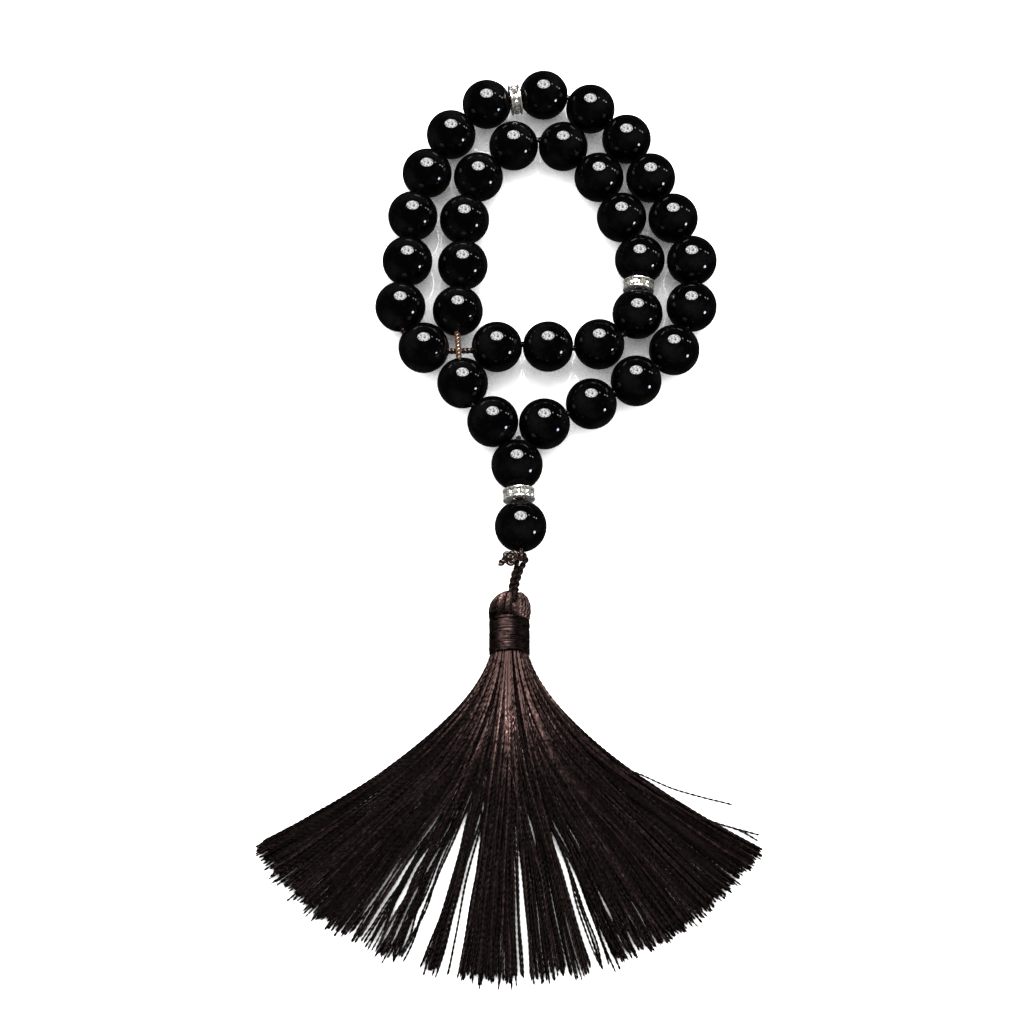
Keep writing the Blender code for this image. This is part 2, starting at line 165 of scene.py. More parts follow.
HEAD_ROUTE = (
    (1.56, 13.72, 6.1), (2.0, 13.3, 6.5), (2.35, 12.5, 6.6), (2.65, 7.65, 6.6), (3.1, 0.1, 6.6),
    (3.5, -7.5, 6.6), (3.6, -13.4, 6.7), (3.55, -14.4, 7.05), (3.55, -15.15, 6.75), (3.55, -15.5, 6.0),
    (3.55, -15.15, 5.2), (3.55, -14.4, 4.85), (3.6, -13.4, 5.3), (3.5, -7.5, 5.4), (3.1, 0.1, 5.4),
    (2.65, 7.65, 5.4), (2.4, 12.6, 5.4), (2.55, 13.6, 5.5), (2.95, 14.3, 5.75), (3.3, 14.75, 5.9),
)
HANGER_ROUTE = (
    (1.6, -26.2, 7.9), (1.5, -24.6, 6.9), (1.4, -22.6, 5.4), (1.65, -20.5, 5.1), (2.1, -18.6, 5.5),
    (2.65, -17.0, 5.4), (2.45, -15.6, 5.5), (2.8, -14.7, 5.8), (3.55, -14.35, 5.95), (4.25, -14.65, 6.0),
    (4.65, -15.4, 6.0), (3.95, -16.9, 5.9), (3.2, -18.8, 5.5), (2.7, -20.5, 5.1), (2.4, -22.6, 5.4),
    (2.35, -24.4, 6.9), (2.2, -26.0, 7.9),
)

# The knot that ends the cord: its middle, and a third of its half width
KNOT = (1.2, -15.6, 7.5)
KNOT_SIZE = 0.43 * MM
KNOT_STEPS = 160
KNOT_CORD_RADIUS = 0.68 * MM
KNOT_TAIL_RADIUS = 0.748 * MM
KNOT_TONE = 0.04
KNOT_TAIL_TONE = 0.015
KNOT_TAIL = ((0.1, -15.9, 7.6), (-0.7, -16.5, 7.2), (-1.25, -17.0, 6.7))

# Tassel head: distance from the dome's top, radius
TASSEL_TOP = (0.9, -22.65, 4.9)
DOME_PROFILE = (
    (0.0, 0.5), (0.15, 1.4), (0.7, 2.8), (1.7, 3.95), (3.1, 4.7), (4.7, 4.9), (6.2, 4.75), (7.4, 4.3),
)
CREASE_X = 1.2 * MM  # the fold that parts the dome's two lobes, to the right of its axis
CREASE_DEPTH = 2.4 * MM
CREASE_WIDTH = 0.75 * MM
DOME_LAYERS = ((62, 0.3, 0.0), (52, 0.72, 0.05))  # strands, how deep they lie, how far they are turned
DOME_STRAND_RADIUS = 0.31 * MM
DOME_STEPS = 56
# Painted sheen on the dome: on the left lobe it peaks partway down, and the right lobe has it evenly
LEFT_SHEEN = 0.6
LEFT_SHEEN_AT = 0.42  # the painted sheen on the left lobe is brightest at this share of the way down its strands
LEFT_SHEEN_WIDTH = 0.22
RIGHT_SHEEN = 0.35
CORE_INSET = 0.9 * MM
CORE_END_RADIUS = 3.6 * MM
CORE_AXIS_RADIUS = 0.01 * MM
CORE_SIDES = 40

# Binding: distances from the dome's top
BINDING_TOP = 7.4 * MM
BINDING_BOTTOM = 15.3 * MM
BINDING_RADIUS = 4.36 * MM
BINDING_PITCH = 0.46 * MM
BINDING_THREAD = 0.27 * MM
BINDING_STEPS = 56  # for each turn
BINDING_SIDES = 8
BINDING_UNEVEN = 0.05 * MM
BINDING_SLIP = 0.1 * MM
BINDING_SHEEN = (0.025, 0.85)  # the thread's tone all round, and the painted highlight added on top of the tassel
BINDING_SHEEN_AT = -0.2  # as a share of the radius, from the axis to the right
BINDING_SHEEN_WIDTH = 0.24

# Skirt: threads of one length, fanned out flat from the binding
SKIRT_TOP = 15.4 * MM
SKIRT_NECK = 4.3 * MM
SKIRT_NECK_EDGE = 0.8944272 * MM  # half the neck's thickness at its left and right edges
SKIRT_LENGTH = 73.3 * MM
SKIRT_EDGE_SHORTER = 3.8 * MM
FAN_LEFT = math.radians(63.5)
FAN_RIGHT = math.radians(62.6)
FAN_POWER = 0.25
SKIRT_END_THICKNESS = 1.6 * MM
SKIRT_THINNING = 12.0 * MM
SKIRT_LANDING = 14.0 * MM
THREAD_RADIUS = 0.265 * MM
THREAD_TWIST = 2.7 * MM
THREAD_STEPS = 162
SPREADS = 201
NECK_THINNER = 0.75  # the threads are squeezed to this share of their radius at the neck
NECK_THINNER_REACH = 18.0 * MM
THREAD_RISE = 0.12 * MM
RISE_WAVES = 2.1

# Each thread wanders in waves: how many of them, and their usual size across the fan
THREAD_WAVES = ((0.8, 0.008), (1.7, 0.006), (3.3, 0.003), (6.1, 0.0012))
CALM = 0.5
LOOSE_PLACES = ((-0.38, 0.13, 1.3), (0.4, 0.1, 0.8))  # where they wander more: middle, width, how much
GATHER_FROM = 0.03  # the threads move from the neck to their locks over this stretch of their length
GATHER_OVER = 0.7

# A painted sheen makes the threads paler and shinier near the neck, most of all in its middle
NECK_SHEEN = 12.0 * MM
NECK_SHEEN_FADE = 4.0 * MM
NECK_SHEEN_WIDTH = 0.55
NECK_EDGE_SHEEN = 0.25
NECK_TONE = 3.2
THREAD_TONE = 0.06
LEAST_TONE = 0.002
STRAY_TONE = 0.05
STRAY_STEPS_PER_TURN = 8

# Where the threads' ends gather along the fan, from -1 at its left edge to 1 at its right, and how many
LOCKS = (
    (-1.0, -0.78, 94), (-0.78, -0.55, 98), (-0.537, -0.515, 7), (-0.487, -0.463, 8), (-0.445, -0.415, 9),
    (-0.398, -0.372, 12), (-0.354, -0.346, 3), (-0.279, -0.237, 18), (-0.236, -0.229, 3),
    (-0.207, -0.205, 1), (-0.165, 0.022, 84), (0.036, 0.046, 3), (0.07, 0.1, 11), (0.105, 0.145, 14),
    (0.15, 0.19, 14), (0.195, 0.23, 12), (0.235, 0.268, 11), (0.295, 0.312, 4), (0.335, 0.4, 22),
    (0.405, 0.478, 25), (0.48, 0.73, 108), (0.73, 1.0, 108),
)
# The skirt is made in as many pieces as it has bundles of threads: their edges across the fan
BUNDLE_EDGES = (-1.0, -0.68, -0.33, -0.14, 0.2, 0.46, 0.74, 1.0)

# Threads that have strayed from the fan: radius, then the course
STRAYS = (
    (0.24, (
        (5.0, -38.3, 4.9), (7.2, -43.5, 3.4), (12.6, -51.6, 2.0), (17.8, -57.4, 1.4), (23.9, -62.3, 1.1),
        (30.1, -64.6, 1.0), (36.8, -67.6, 0.8), (43.4, -69.6, 0.6), (50.7, -71.4, 0.4),
    )),
    (0.24, (
        (5.1, -38.3, 4.7), (8.5, -45.8, 3.0), (17.0, -56.8, 1.7), (28.0, -65.9, 1.4), (41.1, -73.5, 1.0),
        (48.0, -75.9, 0.7), (56.3, -78.2, 0.4),
    )),
    (0.24, (
        (5.0, -38.4, 5.1), (8.2, -45.8, 3.4), (17.2, -57.4, 1.9), (29.5, -67.4, 1.4), (43.3, -74.6, 0.9),
        (52.1, -77.3, 0.6), (56.0, -79.5, 0.4),
    )),
    (0.08, (
        (6.4, -44.5, 3.2), (10.5, -51.0, 1.9), (15.7, -55.4, 1.5), (19.0, -58.4, 1.4), (22.8, -61.2, 1.3),
        (26.8, -63.0, 1.1), (32.3, -66.4, 1.0),
    )),
    (0.08, (
        (-18.0, -58.5, 1.4), (-30.0, -68.6, 1.1), (-40.0, -74.4, 0.8), (-45.6, -76.0, 0.7),
        (-50.0, -76.9, 0.5), (-54.4, -77.8, 0.4),
    )),
)


def metres(point):
    """A point given in millimetres."""
    return Vector(point) * MM


# ---------------------------------------------------------------- materials


def new_material(name):
    """A material with its Principled shader, and the two helpers that add nodes and links."""
    material = bpy.data.materials.new(name)
    material.use_nodes = True
    return material, material.node_tree.nodes, material.node_tree.links


def set_inputs(shader, **values):
    """Set shader sockets by name, with underscores for spaces."""
    for key, value in values.items():
        shader.inputs[key.replace("_", " ")].default_value = value


def object_noise(nodes, links, scale, detail=4.0, roughness=0.55):
    """Noise fixed to the piece, with its scale in features per metre."""
    place = nodes.new("ShaderNodeTexCoord")
    noise = nodes.new("ShaderNodeTexNoise")
    set_inputs(noise, Scale=scale, Detail=detail, Roughness=roughness)
    links.new(place.outputs["Object"], noise.inputs["Vector"])
    return noise


def remap(nodes, links, value, low, high, to_low, to_high):
    """A linear map of a value, clamped to its new range."""
    node = nodes.new("ShaderNodeMapRange")
    node.inputs["From Min"].default_value = low
    node.inputs["From Max"].default_value = high
    node.inputs["To Min"].default_value = to_low
    node.inputs["To Max"].default_value = to_high
    links.new(value, node.inputs["Value"])
    return node.outputs["Result"]


def mix_colors(nodes, links, factor, first, second):
    """The first color where the factor is 0, the second where it is 1."""
    mix = nodes.new("ShaderNodeMix")
    mix.data_type = "RGBA"
    mix.inputs["A"].default_value = (*first, 1.0)
    mix.inputs["B"].default_value = (*second, 1.0)
    links.new(factor, mix.inputs["Factor"])
    return mix.outputs["Result"]


def add_bump(nodes, links, height, distance, strength):
    """Let the height, from 0 to 1, unsettle the shader's normal."""
    bump = nodes.new("ShaderNodeBump")
    bump.inputs["Distance"].default_value = distance
    bump.inputs["Strength"].default_value = strength
    links.new(height, bump.inputs["Height"])
    links.new(bump.outputs["Normal"], nodes["Principled BSDF"].inputs["Normal"])


def stone_material():
    """Polished black stone: faint cloudy bands, a film of dust and a very fine unevenness."""
    material, nodes, links = new_material("black_stone")
    shader = nodes["Principled BSDF"]
    set_inputs(shader, IOR=1.5, Specular_IOR_Level=0.2)
    clouds = object_noise(nodes, links, 260.0, 6.0, 0.6)
    color = mix_colors(
        nodes, links, remap(nodes, links, clouds.outputs["Fac"], 0.45, 0.8, 0.0, 1.0),
        (0.0003, 0.0003, 0.0003), (0.0035, 0.0035, 0.0035),
    )
    links.new(color, shader.inputs["Base Color"])
    film = object_noise(nodes, links, 900.0, 8.0, 0.7)
    links.new(
        remap(nodes, links, film.outputs["Fac"], 0.5, 0.75, 0.03, 0.11), shader.inputs["Roughness"]
    )
    grain = object_noise(nodes, links, 2600.0, 3.0, 0.6)
    add_bump(nodes, links, grain.outputs["Fac"], 0.004 * MM, 0.6)
    return material


def metal_material():
    """Bright silver plate, with fine scuffs and a little tarnish in patches."""
    material, nodes, links = new_material("silver")
    shader = nodes["Principled BSDF"]
    set_inputs(shader, Metallic=0.78)
    stain = object_noise(nodes, links, 700.0, 5.0, 0.6)
    color = mix_colors(
        nodes, links, remap(nodes, links, stain.outputs["Fac"], 0.4, 0.65, 0.0, 1.0),
        (0.7, 0.69, 0.65), (0.34, 0.315, 0.275),
    )
    links.new(color, shader.inputs["Base Color"])
    links.new(
        remap(nodes, links, stain.outputs["Fac"], 0.3, 0.7, 0.12, 0.3), shader.inputs["Roughness"]
    )
    scuffs = object_noise(nodes, links, 5000.0, 3.0, 0.6)
    add_bump(nodes, links, scuffs.outputs["Fac"], 0.01 * MM, 0.5)
    return material


def crystal_material():
    """A foil-backed rhinestone: bright, sharp facets with a trace of warm and cool tints."""
    material, nodes, links = new_material("crystal")
    shader = nodes["Principled BSDF"]
    set_inputs(shader, Metallic=0.72, Roughness=0.12, Coat_Weight=0.5, Coat_IOR=1.5, Coat_Roughness=0.02)
    tint = object_noise(nodes, links, 1100.0, 1.0, 0.4)
    color = mix_colors(
        nodes, links, remap(nodes, links, tint.outputs["Fac"], 0.35, 0.65, 0.0, 1.0),
        (0.47, 0.4, 0.36), (0.53, 0.57, 0.53),
    )
    links.new(color, shader.inputs["Base Color"])
    return material


def thread_material(name, dark, light, scale, gloss, roughness):
    """Twisted fibre with fine lines in its surface, paler and shinier where the mesh's tone is high."""
    material, nodes, links = new_material(name)
    shader = nodes["Principled BSDF"]
    set_inputs(shader, IOR=1.5, Specular_IOR_Level=gloss, Specular_Tint=(1.0, 0.76, 0.7, 1.0))
    tone = nodes.new("ShaderNodeAttribute")
    tone.attribute_name = "tone"
    patches = object_noise(nodes, links, scale, 5.0, 0.65)
    blend = nodes.new("ShaderNodeMath")
    blend.operation = "MULTIPLY"
    links.new(tone.outputs["Fac"], blend.inputs[0])
    links.new(remap(nodes, links, patches.outputs["Fac"], 0.35, 0.65, 0.2, 1.5), blend.inputs[1])
    color = mix_colors(nodes, links, blend.outputs["Value"], dark, light)
    links.new(color, shader.inputs["Base Color"])
    links.new(remap(nodes, links, blend.outputs["Value"], 0.0, 1.0, 0.0, 0.55), shader.inputs["Metallic"])
    polish = remap(nodes, links, blend.outputs["Value"], 0.0, 0.8, roughness + 0.04, roughness)
    links.new(polish, shader.inputs["Roughness"])
    fibres = object_noise(nodes, links, scale * 6, 3.0, 0.7)
    add_bump(nodes, links, fibres.outputs["Fac"], 0.03 * MM, 0.7)
    return material


def floor_material():
    """A white, glowing table top with a little polish, and painted shade in the narrow gaps between beads.
    """
    material, nodes, links = new_material("floor_polish")
    shader = nodes["Principled BSDF"]
    set_inputs(shader, Metallic=0.15, Roughness=0.0, Specular_IOR_Level=0.0)
    gaps = nodes.new("ShaderNodeAmbientOcclusion")
    gaps.samples = 4
    gaps.inputs["Distance"].default_value = GAP_REACH
    # painted shade: the table darkens where ambient occlusion finds little open sky
    open_sky = remap(nodes, links, gaps.outputs["AO"], *GAP_SHADE, 0.0, 1.0)
    color = mix_colors(nodes, links, open_sky, (0.02, 0.02, 0.02), (0.97, 0.97, 0.97))
    links.new(color, shader.inputs["Base Color"])
    links.new(color, shader.inputs["Emission Color"])
    shader.inputs["Emission Strength"].default_value = FLOOR_GLOW
    return material


# ---------------------------------------------------------------- shared shapes


def new_piece(name, mesh, material, body, slot, *replaced):
    """A finished piece: it rides on a body and stands for the CAD nodes given."""
    piece = bpy.data.objects.new(name, mesh)
    bpy.context.scene.collection.objects.link(piece)
    if not mesh.materials:
        mesh.materials.append(material)
    if body:
        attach(piece, body)
    if replaced:
        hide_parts(*replaced)
    return piece


def turned_mesh(name, profile, sides, smooth=True):
    """A closed ring or ball turned about Z from a closed outline of (radius, height) pairs.

    The outline runs down the outer side and up the inner side.
    """
    count = len(profile)
    angles = np.arange(sides) * 2 * math.pi / sides
    radii = np.array([r for r, _ in profile])
    heights = np.array([h for _, h in profile])
    x = np.cos(angles)[:, None] * radii
    y = np.sin(angles)[:, None] * radii
    z = np.broadcast_to(heights, x.shape)
    verts = np.stack([x, y, z], axis=2).reshape(-1, 3)
    side, k = np.meshgrid(np.arange(sides), np.arange(count), indexing="ij")
    following, below = (side + 1) % sides, (k + 1) % count
    faces = np.stack(
        [side * count + k, side * count + below, following * count + below, following * count + k], axis=2
    ).reshape(-1, 4)
    return mesh_from_arrays(name, verts, faces, smooth)


def mesh_from_arrays(name, verts, faces, smooth=True):
    """A mesh from an array of points and an array of faces with equally many corners."""
    mesh = bpy.data.meshes.new(name)
    mesh.vertices.add(len(verts))
    mesh.vertices.foreach_set("co", np.asarray(verts, np.float32).ravel())
    mesh.loops.add(faces.size)
    mesh.loops.foreach_set("vertex_index", faces.astype(np.int32).ravel())
    mesh.polygons.add(len(faces))
    corners = faces.shape[1]
    mesh.polygons.foreach_set("loop_start", np.arange(len(faces), dtype=np.int32) * corners)
    mesh.polygons.foreach_set("use_smooth", np.full(len(faces), smooth))
    mesh.update(calc_edges=True)
    mesh.validate()
    return mesh


def aimed(place, direction):
    """The placement that puts a piece's Z axis along the direction."""
    turn = Vector(direction).to_track_quat("Z", "Y").to_matrix().to_4x4()
    return Matrix.Translation(place) @ turn


def smooth_course(points):
    """A smooth curve through the points, which heads at each one along the line between its neighbours."""
    padded = [2 * points[0] - points[1], *points, 2 * points[-1] - points[-2]]
    headings = [
        ((here - before).normalized() + (after - here).normalized()).normalized()
        for before, here, after in zip(padded, padded[1:], padded[2:])
    ]
    return headed_course(points, headings, 1.0)


def headed_course(points, headings, pull, steps=24):
    """A smooth curve through the points with the given headings; pull is how long it keeps to each."""
    course = []
    for here, there, leave, arrive in zip(points, points[1:], headings, headings[1:]):
        span = (there - here).length * pull
        for k in range(steps):
            t = k / steps
            course.append(
                (2 * t**3 - 3 * t**2 + 1) * here
                + (t**3 - 2 * t**2 + t) * span * leave
                + (3 * t**2 - 2 * t**3) * there
                + (t**3 - t**2) * span * arrive
            )
    course.append(points[-1])
    return np.array([tuple(point) for point in course])


def course_length(course):
    """The length of a curve."""
    return float(np.linalg.norm(np.diff(course, axis=0), axis=1).sum())


def in_steps(course, count):
    """The same curve with a given number of evenly spaced points."""
    lengths = np.concatenate([[0.0], np.cumsum(np.linalg.norm(np.diff(course, axis=0), axis=1))])
    at = np.linspace(0.0, lengths[-1], count)
    return np.stack([np.interp(at, lengths, course[:, axis]) for axis in range(3)], axis=1)


def evenly(course, step):
    """The same curve with points a given step apart."""
    return in_steps(course, max(2, round(course_length(course) / step) + 1))


def cross_frames(courses):
    """Two directions square to each course at each of its points, carried along it without twisting.

    courses is an array of curves, points and coordinates.
    """
    tangents = np.gradient(courses, axis=1)
    tangents /= np.linalg.norm(tangents, axis=2, keepdims=True)
    start = np.where(np.abs(tangents[:, 0, 2:3]) < 0.9, [[0.0, 0.0, 1.0]], [[1.0, 0.0, 0.0]])
    firsts = np.empty_like(courses)
    across = start
    for k in range(courses.shape[1]):
        tangent = tangents[:, k]
        across = across - (across * tangent).sum(axis=1, keepdims=True) * tangent
        across = across / np.linalg.norm(across, axis=1, keepdims=True)
        firsts[:, k] = across
    return firsts, np.cross(tangents, firsts)


def tubes(courses, radii, sides):
    """Points and faces of round tubes along the courses, with a radius at each point."""
    count, steps = courses.shape[:2]
    first, second = cross_frames(courses)
    angles = np.arange(sides) * 2 * math.pi / sides
    ring = (
        np.cos(angles)[None, None, :, None] * first[:, :, None]
        + np.sin(angles)[None, None, :, None] * second[:, :, None]
    )
    verts = courses[:, :, None] + radii[:, :, None, None] * ring
    tube, k, side = np.meshgrid(np.arange(count), np.arange(steps - 1), np.arange(sides), indexing="ij")
    base = (tube * steps + k) * sides
    after = (side + 1) % sides
    faces = np.stack([base + side, base + after, base + sides + after, base + sides + side], axis=3)
    return verts.reshape(-1, 3), faces.reshape(-1, 4)


def taper_ends(radii, share=0.35):
    """The same radii with each tube's open ends drawn in, so that they look cut and not hollow."""
    drawn = radii.copy()
    drawn[:, 0] *= share
    drawn[:, -1] *= share
    return drawn


def plies_round(courses, radius, pitch, phases):
    """The courses of the plies twisted round each course, and each ply's own radius."""
    first, second = cross_frames(courses)
    lengths = np.linalg.norm(np.diff(courses, axis=1), axis=2)
    along = np.concatenate([np.zeros((len(courses), 1)), np.cumsum(lengths, axis=1)], axis=1)
    out = []
    for ply in range(PLIES):
        angle = along * 2 * math.pi / pitch + phases[:, None] + 2 * math.pi * ply / PLIES
        offset = np.cos(angle)[:, :, None] * first + np.sin(angle)[:, :, None] * second
        out.append(courses + radius[:, :, None] * PLY_OFFSET * offset)
    return np.concatenate(out), np.concatenate([radius * PLY_RADIUS] * PLIES)


def add_tones(mesh, tones, sides):
    """Give every point of every tube a tone from 0 to 1, which its material reads."""
    layer = mesh.attributes.new("tone", "FLOAT", "POINT")
    layer.data.foreach_set("value", np.repeat(tones.ravel(), sides).astype(np.float32))


def twisted_mesh(name, courses, radii, pitch, tones, sides=PLY_SIDES, seed=1):
    """Twisted cords or threads along courses of equally many points, each with a radius and a tone."""
    chance = np.random.default_rng(seed)
    phases = chance.uniform(0, 2 * math.pi, len(courses))
    ply_courses, ply_radii = plies_round(courses, radii, pitch, phases)
    verts, faces = tubes(ply_courses, ply_radii, sides)
    mesh = mesh_from_arrays(name, verts, faces)
    add_tones(mesh, np.concatenate([tones] * PLIES), sides)
    return mesh


def cord_mesh(name, course, radius, pitch, tone):
    """One twisted cord along a course."""
    line = evenly(course, pitch / STEPS_PER_TURN)[None]
    everywhere = line.shape[:2]
    return twisted_mesh(name, line, np.full(everywhere, radius), pitch, np.full(everywhere, tone))


# ---------------------------------------------------------------- beads and spacers


def bead_mesh():
    """A drilled ball with a softened rim at each end of its bore."""
    rim = BORE_RADIUS + BORE_CHAMFER
    mouth = math.asin(rim / BEAD_RADIUS)
    profile = []
    for k in range(BEAD_ARC_STEPS + 1):
        angle = mouth + (math.pi - 2 * mouth) * k / BEAD_ARC_STEPS
        profile.append((BEAD_RADIUS * math.sin(angle), BEAD_RADIUS * math.cos(angle)))
    height = BEAD_RADIUS * math.cos(mouth)
    inner = []
    for share in (0.25, 0.6, 1.0):
        drawn_in = BORE_CHAMFER * math.sin(share * math.pi / 2)
        inner.append((rim - drawn_in, -height + BORE_CHAMFER * share**2))
    profile += inner
    profile += [(radius, -z) for radius, z in reversed(inner)]
    return turned_mesh("bead", profile, BEAD_SIDES)


def ring_mesh():
    """A spacer's metal: two thin flanges with rounded edges, joined by the channel that holds stones."""
    channel = SPACER_HALF_WIDTH - FLANGE
    outer = [
        (SPACER_BORE, SPACER_HALF_WIDTH - DISH_DEPTH),
        (DISH_RADIUS, SPACER_HALF_WIDTH),
        (SPACER_RADIUS - FLANGE_EDGE, SPACER_HALF_WIDTH),
        (SPACER_RADIUS, SPACER_HALF_WIDTH - FLANGE_EDGE),
        (SPACER_RADIUS, channel + FLANGE_EDGE),
        (SPACER_RADIUS - FLANGE_EDGE, channel),
        (SEAT_RADIUS, channel),
    ]
    mirrored = [(radius, -z) for radius, z in reversed(outer)]
    return turned_mesh("ring", outer + mirrored, SPACER_SIDES, smooth=False)


def stones_mesh():
    """The row of stones: each has a flat table, a facetted crown and a point that sits in the channel."""
    stones = bmesh.new()
    for number in range(STONES):
        turn = Matrix.Rotation(2 * math.pi * (number + 0.5) / STONES, 4, "Z")
        rings = []
        for radius, at, offset in (
            (STONE_TABLE, STONE_TABLE_AT, 0.0), (STONE_RADIUS, STONE_GIRDLE_AT, 0.5),
        ):
            ring = []
            for k in range(STONE_SIDES):
                angle = 2 * math.pi * (k + offset) / STONE_SIDES
                ring.append(stones.verts.new(
                    turn @ Vector((at, radius * math.cos(angle), radius * math.sin(angle)))
                ))
            rings.append(ring)
        table, girdle = rings
        culet = stones.verts.new(turn @ Vector((STONE_CULET_AT, 0.0, 0.0)))
        stones.faces.new(table)
        for k in range(STONE_SIDES):
            after = (k + 1) % STONE_SIDES
            stones.faces.new((table[k], girdle[k], table[after]))
            stones.faces.new((table[after], girdle[k], girdle[after]))
            stones.faces.new((girdle[k], culet, girdle[after]))
    bmesh.ops.recalc_face_normals(stones, faces=stones.faces)
    mesh = bpy.data.meshes.new("stones")
    stones.to_mesh(mesh)
    stones.free()
    return mesh


def joint_places(frame):
    """Each spinning body's centre and the direction of its bore."""
    places = {}
    for joint in frame["joints"]:
        if joint["name"].endswith("_spin"):
            places[joint["child"]] = (Vector(joint["pos_m"]), Vector(joint["axis"]))
    return places


def build_beads(places, materials):
    """A polished bead on every bead's body."""
    mesh = bead_mesh()
    for name in sorted(places):
        if "bead" in name:
            bead = new_piece(f"{name}_polished", mesh, materials["stone"], None, "black_stone", name)
            bead.matrix_world = aimed(*places[name])
            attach(bead, name)


def build_spacers(places, materials):
    """A ring and its row of stones on every spacer's body."""
    ring, stones = ring_mesh(), stones_mesh()
    for name in sorted(places):
        if "spacer" in name:
            for part, mesh, key, slot in (
                ("ring", ring, "metal", "silver"), ("stones", stones, "crystal", "crystal"),
            ):
                piece = new_piece(f"{name}_{part}_cut", mesh, materials[key], None, slot, f"{name}_{part}")
                piece.matrix_world = aimed(*places[name])
                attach(piece, name)


# ---------------------------------------------------------------- cords


def loop_course(places):
    """The loop cord's course: through every bore in string order, and over itself where it crosses."""
    points, headings = [], []

    def pass_through(name):
        place, direction = places[name]
        points.append(place)
        headings.append(direction)

    for number in range(1, BEADS + 1):
        if number in SPACER_BEFORE:
            pass_through(f"spacer_{SPACER_BEFORE.index(number) + 1}")
        for before, crossing in ((OVER_BEFORE, CROSSING_OVER), (UNDER_BEFORE, CROSSING_UNDER)):
            if number == before:
                points.append(metres(crossing))
                headings.append((places[f"bead_{number:02d}"][0] - points[-2]).normalized())
        pass_through(f"bead_{number:02d}")
    points[0] = points[0] - LOOP_END_REACH * headings[0]
    points[-1] = points[-1] + LOOP_END_REACH * headings[-1]
    return headed_course(points, headings, BORE_PULL)


def build_cords(places, materials):
    """The loop cord, the doubled head cord and the tassel's hanging loop."""
    loop = loop_course(places)
    line = evenly(loop, CORD_TWIST / STEPS_PER_TURN)[None]
    distance = np.linalg.norm(line - np.array(metres(CROSSING_OVER)), axis=2)
    # painted highlight where the cord is bare at the crossing, cut down to painted shade on the run below
    painted_highlight = np.exp(-((distance / PAINTED_HIGHLIGHT_REACH) ** 2))
    under = line.shape[1] // 3  # the cord comes over the crossing in its first third, and then under it
    painted_highlight[:, under:] *= UNDER_SHARE
    mesh = twisted_mesh(
        "loop_cord_twisted", line, np.full(line.shape[:2], LOOP_CORD_RADIUS), CORD_TWIST,
        DULL_TONE + (1 - DULL_TONE) * painted_highlight,
    )
    piece = new_piece("loop_cord_twisted", mesh, materials["cord"], "loop", "brown_cord", "loop_cord")
    head = smooth_course([metres(point) for point in HEAD_ROUTE])
    mesh = cord_mesh("head_cord_twisted", head, CORD_RADIUS, CORD_TWIST, HEAD_CORD_TONE)
    piece = new_piece("head_cord_twisted", mesh, materials["cord"], "head", "brown_cord", "head_cord")
    hanger = smooth_course([metres(point) for point in HANGER_ROUTE])
    mesh = cord_mesh("tassel_hanger_twisted", hanger, HANGER_RADIUS, HANGER_TWIST, HANGER_TONE)
    piece = new_piece("tassel_hanger_twisted", mesh, materials["silk"], None, "dark_silk", "tassel_hanger")
    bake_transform(piece)


def build_knot(materials):
    """The cord's ends tied in a tight knot, with a short tail."""
    turn = np.linspace(0.0, 2 * math.pi, KNOT_STEPS)
    course = np.stack(
        [
            np.sin(turn) + 2 * np.sin(2 * turn),
            1.1 * (np.cos(turn) - 2 * np.cos(2 * turn)),
            -0.9 * np.sin(3 * turn),
        ], axis=1,
    ) * KNOT_SIZE + np.array(metres(KNOT))
    mesh = cord_mesh("cord_knot_tied", course, KNOT_CORD_RADIUS, CORD_TWIST, KNOT_TONE)
    new_piece("cord_knot_tied", mesh, materials["cord"], "head", "brown_cord", "cord_knot")
    tail = smooth_course([metres(point) for point in KNOT_TAIL])
    mesh = cord_mesh("cord_knot_tail", tail, KNOT_TAIL_RADIUS, CORD_TWIST, KNOT_TAIL_TONE)
    new_piece("cord_knot_tail", mesh, materials["cord"], "head", "brown_cord")


# ---------------------------------------------------------------- tassel head


def dome_courses(azimuths, inset):
    """Strands from the crease at the dome's top over its sides to the binding."""
    depths = np.array([depth for depth, _ in DOME_PROFILE]) * MM
    radii = np.array([radius for _, radius in DOME_PROFILE]) * MM - inset
    at = np.linspace(0.0, len(DOME_PROFILE) - 1, 60)
    depth = np.interp(at, np.arange(len(depths)), depths)
    radius = np.interp(at, np.arange(len(radii)), radii)
    share = at / at[-1]
    x = radius * np.cos(azimuths)[:, None] + CREASE_X * (1 - share) ** 2
    z = radius * np.sin(azimuths)[:, None]
    fold = np.exp(-(((x - CREASE_X) / CREASE_WIDTH) ** 2)) * (1 - share) ** 0.8
    y = -(depth + CREASE_DEPTH * fold)
    z = z * (1 - 0.3 * fold)
    top = np.array(metres(TASSEL_TOP))
    return np.stack([top[0] + x, top[1] + y - inset, top[2] + z], axis=2)


